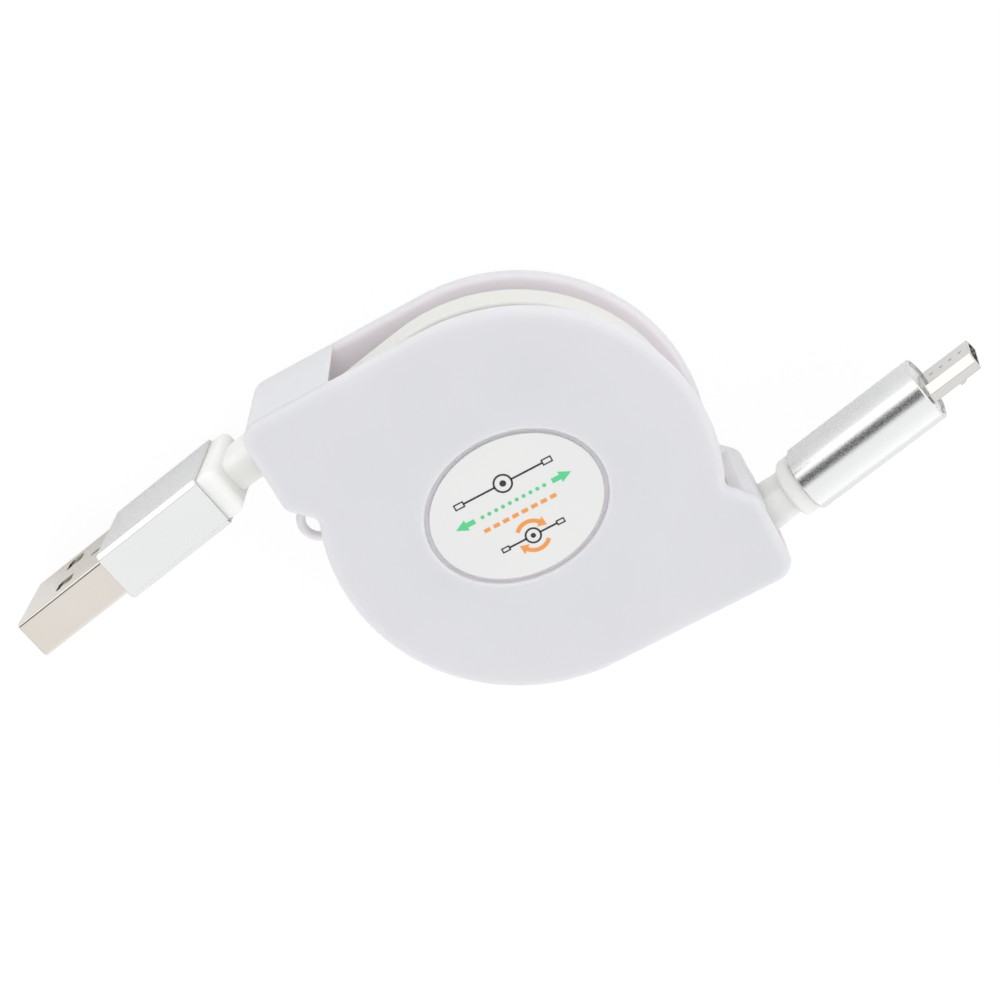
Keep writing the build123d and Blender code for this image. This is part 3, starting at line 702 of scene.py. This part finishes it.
    def _wound_ribbon(self) -> bpy.types.GeometryNodeTree:
        """Band folded in the middle and wound in two halves, side by side, from two opposite exits.

        Returns:
            The tree.
        """
        inputs = {
            "Exit Radius": "Float", "Pitch": "Float", "Start Angle": "Float", "Lag": "Float",
            "Height": "Float", "Half Turns": "Int", "Steps": "Int", "Fold Steps": "Int", **BAND,
        }
        bench, given, out = NodeBench.group("Geometry", "wound_ribbon", inputs, MESH)
        add, less, times, over = map(bench.shortcut, ("ADD", "SUBTRACT", "MULTIPLY", "DIVIDE"))
        index = bench.add("GeometryNodeInputIndex").outputs[0]
        half, exit_radius, pitch = given["Half Turns"], given["Exit Radius"], given["Pitch"]
        host_end = times(half, given["Steps"])
        fold_end = add(host_end, given["Fold Steps"])
        device_steps = times(add(half, 1.0), given["Steps"])
        last = add(fold_end, device_steps)
        host_phase = over(times(index, math.pi), given["Steps"])
        full = add(times(add(half, 1.0), math.pi), given["Lag"])
        device_phase = less(over(times(less(last, index), full), device_steps), given["Lag"])
        in_host = bench.math("LESS_THAN", index, host_end)
        before_device = bench.math("LESS_THAN", index, fold_end)
        phase = bench.blend(before_device, device_phase, host_phase)
        turns = bench.math("MAXIMUM", bench.math("FLOOR", over(phase, math.pi)), 0.0)
        sway = bench.math("COSINE", less(phase, times(turns, math.pi)))
        drop = times(less(1.0, sway), times(pitch, 0.5))
        spiral_radius = less(less(exit_radius, times(turns, pitch)), drop)
        opposite = add(given["Start Angle"], math.pi)
        spiral_angle = less(bench.blend(before_device, opposite, given["Start Angle"]), phase)
        fold_phase = over(times(less(index, host_end), math.pi), given["Fold Steps"])
        fold_middle = less(exit_radius, times(add(half, 0.5), pitch))
        fold_radius = add(fold_middle, times(times(pitch, 0.5), bench.math("COSINE", fold_phase)))
        fold_side = over(times(times(pitch, 0.5), bench.math("SINE", fold_phase)), fold_middle)
        fold_angle = less(less(given["Start Angle"], times(half, math.pi)), fold_side)
        in_fold = less(before_device, in_host)
        radius = bench.blend(in_fold, spiral_radius, fold_radius)
        angle = bench.blend(in_fold, spiral_angle, fold_angle)
        across, along = (times(radius, bench.math(part, angle)) for part in ("COSINE", "SINE"))
        line = bench.add("GeometryNodeMeshLine", {"Count": add(last, 1.0)})
        wires = {"Geometry": line, "Position": bench.join(across, along, given["Height"])}
        wound = bench.add("GeometryNodeSetPosition", wires)
        curve = bench.add("GeometryNodeMeshToCurve", {"Mesh": wound})
        return self._close(bench, self._band(bench, given, curve), given, out)

    @staticmethod
    def shape(name: str, tree: bpy.types.GeometryNodeTree, **values: object) -> bpy.types.Object:
        """Runs a tree once and keeps its result as a plain mesh.

        Args:
            name: The new object's name.
            tree: The tree to run.
            **values: The tree's inputs, spaces written as underscores; Routes is a mesh to start from.

        Returns:
            The new object, at the origin.
        """
        routes = values.pop("Routes", None) or bpy.data.meshes.new(f"{name}_start")
        piece = place_object(name, routes)
        modifier = piece.modifiers.new("form", "NODES")
        modifier.node_group = tree
        sockets = {item.name.replace(" ", "_"): item.identifier for item in tree.interface.items_tree}
        for label, value in values.items():
            modifier[sockets[label]] = value
        piece.modifiers.new("flats", "WEIGHTED_NORMAL").keep_sharp = True
        evaluated = piece.evaluated_get(bpy.context.evaluated_depsgraph_get())
        mesh = bpy.data.meshes.new_from_object(evaluated)
        mesh.name = name
        piece.modifiers.clear()
        piece.data = mesh
        return piece


@dataclass
class SubAssembly:
    """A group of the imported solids, with the slot that each is dressed in."""

    slots: dict[str, Slot | Plating]

    def dress(self, frame: dict, paints: Paints) -> None:
        """Gives every solid its material and leaves its mesh as it is.

        Args:
            frame: The loaded solids.
            paints: Materials by slot and ink.
        """
        for node, slot in self.slots.items():
            materials = frame["nodes"][node].data.materials
            materials.clear()
            materials.append(paints[slot])
            LOG.info("dressed %s in %s", node, slot.value)


@dataclass
class SpoolDrive(SubAssembly):
    """The spool with its spring and pawl, and the flat cable wound on it, in millimetres and degrees."""

    slots: dict[str, Slot] = field(default_factory=lambda: {
        "spool": Slot.SPOOL,
        "spool_cover": Slot.SPOOL,
        "cable_coil": Slot.JACKET,
        "power_spring": Slot.SPRING,
        "ratchet_pawl": Slot.SPOOL,
    })
    cable_thickness: float = 0.95
    cable_width: float = 5.0
    cable_corner: float = 0.38
    turn_gap: float = 0.10
    half_turns: int = 8
    exit_radius: float = 19.8
    host_exit_angle: float = HOST_EXIT_DEGREES
    device_exit_angle: float = 11.3
    middle: float = CABLE_MIDDLE_MM
    turn_steps: int = 40
    fold_steps: int = 10

    @property
    def pitch(self) -> float:
        """Distance between neighbouring turns."""
        return self.cable_thickness + self.turn_gap

    @property
    def start_angle(self) -> float:
        """Angle in plan, in radians, at which the host's half leaves the winding."""
        return math.radians(90 + self.host_exit_angle)

    def band(self, paints: Paints) -> dict[str, object]:
        """Section of the cable.

        Args:
            paints: Materials by slot and ink.

        Returns:
            Values for a tree's band inputs.
        """
        return {
            "Thickness": self.cable_thickness * MM,
            "Width": self.cable_width * MM,
            "Corner": self.cable_corner * MM,
            "Finish": paints[Slot.JACKET],
        }

    def build(self, forms: FormShelf, paints: Paints) -> None:
        """Builds the wound part of the cable in place of its solid.

        Args:
            forms: The geometry trees.
            paints: Materials by slot and ink.
        """
        coil = forms.shape(
            "cable_winding", forms.winding, Exit_Radius=self.exit_radius * MM, Pitch=self.pitch * MM,
            Half_Turns=self.half_turns, Steps=self.turn_steps, Fold_Steps=self.fold_steps,
            Start_Angle=self.start_angle, Height=self.middle * MM,
            Lag=math.radians(self.device_exit_angle - self.host_exit_angle), **self.band(paints),
        )
        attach(coil, "spool")
        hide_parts("cable_coil")
        LOG.info("wound the cable: %d faces", len(coil.data.polygons))

    def exit_point(self, exit_angle: float) -> Vector:
        """Point where a lead leaves the winding, on the device's side.

        Args:
            exit_angle: Angle of the lead in plan.

        Returns:
            The point, at height 0.
        """
        first = self.exit_radius - self.pitch / 2
        tangent, winding = math.radians(exit_angle - 90), self.start_angle
        reach = Vector((first * math.cos(tangent), first * math.sin(tangent), 0.0))
        return reach - Vector((math.cos(winding), math.sin(winding), 0.0)) * (self.pitch / 2)


@dataclass
class Plug(SubAssembly):
    """A plug and the straight run of cable that it hangs on, in millimetres and degrees."""

    kind: str
    exit_angle: float
    side: int
    arm_reach: float = 21.6
    neck_start: float = -1.2
    divisions: int = 80

    @classmethod
    def of_kind(
        cls, kind: str, exit_angle: float, side: int, metal: Slot | Plating, *springs: str
    ) -> "Plug":
        """A plug by its kind.

        Args:
            kind: The start of its nodes' names.
            exit_angle: Angle of its lead in plan.
            side: 1 on the device's side of the reel and -1 on the host's.
            metal: Finish of its shield.
            *springs: Further sprung pieces of the shield's metal.

        Returns:
            The plug.
        """
        slots = {
            f"{kind}_plug_overmould": Slot.OVERMOULD,
            f"{kind}_plug_sleeve": Slot.SLEEVE,
            f"{kind}_plug_shield": metal,
            f"{kind}_plug_tongue": Slot.TONGUE,
            f"{kind}_plug_contacts": Slot.CONTACT,
            f"{kind}_cable_lead": Slot.JACKET,
            **{spring: metal for spring in springs},
        }
        return cls(slots, kind, exit_angle, side)

    def build(self, drive: SpoolDrive, forms: FormShelf, paints: Paints) -> None:
        """Builds the lead as a straight run from the winding's exit towards the plug, in place of its solid.

        Args:
            drive: The spool whose cable the lead is part of.
            forms: The geometry trees.
            paints: Materials by slot and ink.
        """
        angle = math.radians(self.exit_angle)
        heading = Vector((math.cos(angle), math.sin(angle), 0.0))
        start = drive.exit_point(self.exit_angle)
        length = (self.arm_reach - start.x) / heading.x + self.neck_start
        ends = [self.side * point for point in (start, start + heading * length)]
        near, far = ((point.x * MM, point.y * MM, drive.middle * MM) for point in ends)
        run = forms.shape(
            f"{self.kind}_lead_run", forms.run, Start=near, End=far, Divisions=self.divisions,
            **drive.band(paints),
        )
        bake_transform(run)
        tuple(near)
        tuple(far)
        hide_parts(f"{self.kind}_cable_lead")
        LOG.info("ran %s over %.1f mm", run.name, length)


@dataclass
class Housing(SubAssembly):
    """Both shells, the screw and the label."""

    slots: dict[str, Slot] = field(default_factory=lambda: {
        "rear_shell": Slot.SHELL,
        "front_shell": Slot.SHELL,
        "label": Slot.LABEL,
        "centre_screw": Slot.SCREW,
    })


def arc_points(centre: Point, radius: float, start: float, end: float) -> list[Point]:
    """Points of an arc, or of a ring where it comes round to its start.

    Args:
        centre: Middle of the arc.
        radius: Its radius.
        start: Angle of its first point, in degrees.
        end: Angle of its last point, in degrees.

    Returns:
        The points.
    """
    steps = max(ARC_LEAST_STEPS, int(abs(end - start) / ARC_STEP_DEGREES))
    turns = [math.radians(start + (end - start) * step / steps) for step in range(steps + 1)]
    return [(centre[0] + radius * math.cos(turn), centre[1] + radius * math.sin(turn)) for turn in turns]


@dataclass(frozen=True)
class ReelMark:
    """Printed reel with a cord and a plug on each side, in millimetres."""

    centre: Point
    radius: float
    hub: float
    reach: float
    plug_length: float
    plug_half: float

    def routes(self) -> list[list[Point]]:
        """Routes of the rim, the cords and the plugs.

        Returns:
            Point lists, closed where the last point is the first.
        """
        across, along = self.centre
        low, high = along - self.plug_half, along + self.plug_half
        routes = [arc_points(self.centre, self.radius, 0.0, 360.0)]
        for side in (-1, 1):
            near, far = across + side * (self.reach - self.plug_length), across + side * self.reach
            routes.append([(across + side * self.radius, along), (near, along)])
            routes.append([(near, low), (far, low), (far, high), (near, high), (near, low)])
        return routes


@dataclass(frozen=True)
class ArrowMark:
    """Printed arrow, or a bare arrowhead where the shaft is 0, in millimetres."""

    length: float
    shaft: float
    head: float

    def outline(self, tail: Point, heading: float) -> list[Point]:
        """Outline of the arrow.

        Args:
            tail: Middle of the tail end.
            heading: Direction in degrees.

        Returns:
            The outline's points, anticlockwise.
        """
        neck = max(self.length - self.head, 0.0) if self.shaft else 0.0
        half, thin = self.head / 2, self.shaft / 2
        flat = [(neck, -half), (self.length, 0.0), (neck, half)]
        if self.shaft:
            flat = [(0.0, -thin), (neck, -thin), *flat, (neck, thin), (0.0, thin)]
        cosine, sine = math.cos(math.radians(heading)), math.sin(math.radians(heading))
        return [(tail[0] + x * cosine - y * sine, tail[1] + x * sine + y * cosine) for x, y in flat]


@dataclass(frozen=True)
class RowMark:
    """Printed row of equal dots, or of dashes, in millimetres."""

    start: Point
    size: Point
    step: float = 0.0
    count: int = 1
    dots: bool = True


@dataclass
class LabelPrint:
    """The label's pictogram of a reel drawn out and one that rewinds, in millimetres and degrees."""

    forms: FormShelf
    paints: Paints
    centre: Point = (-0.65, 0.1)
    face: float = 15.2
    ink_height: float = 0.02
    fine_stroke: float = 0.2
    bold_stroke: float = 0.45
    drawn_out: ReelMark = ReelMark((0.0, 3.0), 0.95, hub=0.7, reach=5.6, plug_length=1.0, plug_half=0.28)
    rewound: ReelMark = ReelMark((0.0, -3.6), 0.8, hub=0.55, reach=3.6, plug_length=0.8, plug_half=0.224)
    outward_row: RowMark = RowMark((-3.6, 0.75), (0.42, 0.42), step=0.8, count=10)
    outward_arrow: ArrowMark = ArrowMark(length=2.2, shaft=0.55, head=1.25)
    outward_reach: float = 4.5
    inward_row: RowMark = RowMark((-3.85, -0.75), (0.7, 0.42), step=1.1, count=8, dots=False)
    rewind_arrow: ArrowMark = ArrowMark(length=0.85, shaft=0.0, head=1.2)
    rewind_radius: float = 1.65
    rewind_arcs: tuple[Point, ...] = ((40.0, 140.0), (220.0, 320.0))

    def build(self) -> None:
        """Prints one piece for each ink."""
        self._print_lines()
        self._print_outward()
        self._print_inward()

    def _print_lines(self) -> None:
        """Prints both reels with their cords and plugs, and a dot in each hub."""
        reels = (self.drawn_out, self.rewound)
        marks = [self._strokes(Ink.LINE, reel.routes(), self.fine_stroke) for reel in reels]
        marks += [self._row(Ink.LINE, RowMark(reel.centre, (reel.hub, reel.hub))) for reel in reels]
        self._keep("label_print_lines", Ink.LINE, marks)

    def _print_outward(self) -> None:
        """Prints the row of dots between two arrows that point outwards."""
        marks = [self._row(Ink.OUTWARD, self.outward_row)]
        for side, heading in ((1, 0.0), (-1, 180.0)):
            tail = (side * self.outward_reach, self.outward_row.start[1])
            marks.append(self._plate(self.outward_arrow.outline(tail, heading)))
        self._keep("label_print_outward", Ink.OUTWARD, marks)

    def _print_inward(self) -> None:
        """Prints the dashed line and the two arrows that turn round the lower reel."""
        marks = [self._row(Ink.INWARD, self.inward_row)]
        for start, end in self.rewind_arcs:
            arc = arc_points(self.rewound.centre, self.rewind_radius, start, end)
            marks.append(self._strokes(Ink.INWARD, [arc], self.bold_stroke))
            marks.append(self._plate(self.rewind_arrow.outline(arc[0], start - 90.0)))
        self._keep("label_print_inward", Ink.INWARD, marks)

    def _at(self, point: Point) -> Place:
        """Place on the label's face, in metres."""
        across, along = self.centre
        return ((across + point[0]) * MM, (along + point[1]) * MM, self.face * MM)

    def _strokes(self, ink: Ink, routes: list[list[Point]], width: float) -> bpy.types.Object:
        """Inked strokes along flat routes.

        Args:
            ink: The strokes' ink.
            routes: Point lists, closed where the last point is the first.
            width: Width of the stroke.

        Returns:
            The strokes' object.
        """
        mesh = bpy.data.meshes.new("label_routes")
        places: list[Place] = []
        edges: list[tuple[int, int]] = []
        for route in routes:
            closed = math.dist(route[0], route[-1]) < CLOSED_MM
            corners = route[:-1] if closed else route
            base = len(places)
            places += [self._at(point) for point in corners]
            edges += [(base + step, base + step + 1) for step in range(len(corners) - 1)]
            if closed:
                edges.append((base + len(corners) - 1, base))
        mesh.from_pydata(places, edges, [])
        return self.forms.shape(
            "label_strokes", self.forms.strokes, Routes=mesh, Thickness=width * MM,
            Width=2 * self.ink_height * MM, Corner=0.0, Finish=self.paints[ink],
        )

    def _row(self, ink: Ink, row: RowMark) -> bpy.types.Object:
        """Inked row of dots or dashes.

        Args:
            ink: The row's ink.
            row: Its sizes.

        Returns:
            The row's object.
        """
        return self.forms.shape(
            "label_row", self.forms.marks, Start=self._at(row.start), Step=(row.step * MM, 0.0, 0.0),
            Count=row.count, Size=(row.size[0] * MM, row.size[1] * MM, 2 * self.ink_height * MM),
            Round=row.dots, Finish=self.paints[ink],
        )

    def _plate(self, outline: list[Point]) -> bpy.types.Object:
        """Flat shape with the ink's height.

        Args:
            outline: Its points, anticlockwise.

        Returns:
            The shape's object.
        """
        mesh = bpy.data.meshes.new("label_plate")
        count = len(outline)
        low = [self._at(point) for point in outline]
        high = [(across, along, height + self.ink_height * MM) for across, along, height in low]
        steps = [(step, (step + 1) % count) for step in range(count)]
        sides = [(this, after, after + count, this + count) for this, after in steps]
        mesh.from_pydata(low + high, [], [range(count)[::-1], range(count, 2 * count), *sides])
        return place_object("label_plate", mesh)

    def _keep(self, name: str, ink: Ink, marks: list[bpy.types.Object]) -> None:
        """Joins an ink's marks to one piece on the housing.

        Args:
            name: The piece's name.
            ink: Its ink.
            marks: The marks, which are removed.
        """
        form = bmesh.new()
        for mark in marks:
            form.from_mesh(mark.data)
            bpy.data.objects.remove(mark)
        mesh = bpy.data.meshes.new(name)
        form.to_mesh(mesh)
        form.free()
        mesh.materials.append(self.paints[ink])
        piece = place_object(name, mesh)
        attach(piece, "housing")
        LOG.info("printed %s: %d faces", name, len(mesh.polygons))


@dataclass
class Studio:
    """Camera, soft light and floor, in metres and degrees."""

    focal_length: float = 72.0
    sensor_width: float = 36.0
    clip_start: float = 0.01
    clip_end: float = 20.0
    camera_place: Place = (0.0280, 0.0717, 0.2054)
    right: Place = (0.877, -0.4788, 0.0391)
    up: Place = (0.4579, 0.8086, -0.3695)
    light_colour: Colour = (0.985, 0.99, 1.0)
    dim_heading: Place = (-0.38, 0.48, 0.79)
    dim_core: float = 11.0
    dim_reach: float = 25.0
    dim_level: float = 0.08
    horizon_light: float = 1.32
    overhead_light: float = 1.06
    back_gain: float = 1.2
    fade_end: float = 0.9
    floor_size: float = 6.0
    floor_drop: float = 0.00002
    floor_tone: float = 0.88
    floor_roughness: float = 0.9
    floor_glow: float = 0.05
    floor_wash: float = 0.85
    floor_white: float = 1.03
    white_bounces: int = 12

    def build(self) -> None:
        """Builds the camera, the light and the floor."""
        scene = bpy.context.scene
        scene.view_settings.view_transform = "Standard"
        scene.cycles.max_bounces = scene.cycles.diffuse_bounces = self.white_bounces
        self._camera()
        self._light()
        self._floor()

    def _camera(self) -> None:
        """Camera at the photograph's viewing angle."""
        data = bpy.data.cameras.new("camera")
        data.lens, data.sensor_width = self.focal_length, self.sensor_width
        data.clip_start, data.clip_end = self.clip_start, self.clip_end
        camera = place_object("camera", data)
        right = Vector(self.right).normalized()
        back = right.cross(Vector(self.up)).normalized()
        turn = Matrix((right, back.cross(right), back)).transposed()
        camera.matrix_world = Matrix.Translation(self.camera_place) @ turn.to_4x4()
        bpy.context.scene.camera = camera

    def _light(self) -> None:
        """Soft tent of light: brighter low down and at the back, dim at its opening."""
        world = bpy.data.worlds.new("studio")
        bench = NodeBench.of(world)
        heading = bench.add("ShaderNodeTexCoord").outputs["Generated"]
        _, depth, height = bench.split(heading)
        near = bench.vector("DOT_PRODUCT", heading, Vector(self.dim_heading).normalized())
        edge, core = (math.cos(math.radians(turn)) for turn in (self.dim_reach, self.dim_core))
        shade = bench.spread(near, edge, core, 1.0, self.dim_level)
        rise = bench.spread(height, 0.0, self.fade_end, self.horizon_light, self.overhead_light)
        back = bench.spread(depth, 0.0, self.fade_end, 1.0, self.back_gain)
        level = bench.math("MULTIPLY", shade, bench.math("MULTIPLY", rise, back))
        wires = {"Color": (*self.light_colour, 1.0), "Strength": level}
        bench.add("ShaderNodeOutputWorld", {"Surface": bench.add("ShaderNodeBackground", wires)})
        bpy.context.scene.world = world

    def _floor(self) -> None:
        """Plain pale floor just under the rear face, washed to white for the camera alone."""
        half, low = self.floor_size / 2, -self.floor_drop
        mesh = bpy.data.meshes.new("floor")
        corners = [(-half, -half, low), (half, -half, low), (half, half, low), (-half, half, low)]
        mesh.from_pydata(corners, [], [(0, 1, 2, 3)])
        floor = place_object("floor", mesh)
        material = bpy.data.materials.new("floor_paper")
        bench = NodeBench.of(material)
        paper = bench.add("ShaderNodeBsdfPrincipled", {
            "Base Color": (self.floor_tone, self.floor_tone, self.floor_tone, 1.0),
            "Roughness": self.floor_roughness,
            "Emission Color": (1.0, 1.0, 1.0, 1.0),
            "Emission Strength": self.floor_glow,
        })
        white = bench.add("ShaderNodeEmission", {"Strength": self.floor_white})
        seen = bench.add("ShaderNodeLightPath").outputs["Is Camera Ray"]
        share = bench.math("MULTIPLY", seen, self.floor_wash)
        washed = bench.add("ShaderNodeMixShader", {0: share, 1: paper, 2: white})
        bench.add("ShaderNodeOutputMaterial", {"Surface": washed})
        mesh.materials.append(material)


def main() -> None:
    """Builds the part's looks in order."""
    logging.basicConfig(level=logging.INFO, format="%(name)s: %(message)s")
    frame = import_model()
    shelf = EffectShelf()
    paints: Paints = {key: finish.make(key.value, shelf) for key, finish in FINISHES.items()}
    forms = FormShelf()
    drive = SpoolDrive()
    plugs = [
        Plug.of_kind("host", drive.host_exit_angle, -1, Slot.SHIELD),
        Plug.of_kind("device", drive.device_exit_angle, 1, Plating.PALE, "device_plug_latches"),
    ]
    for assembly in (Housing(), drive, *plugs):
        assembly.dress(frame, paints)
    LabelPrint(forms, paints).build()
    drive.build(forms, paints)
    for plug in plugs:
        plug.build(drive, forms, paints)
    Studio().build()


if __name__ == "__main__":
    main()
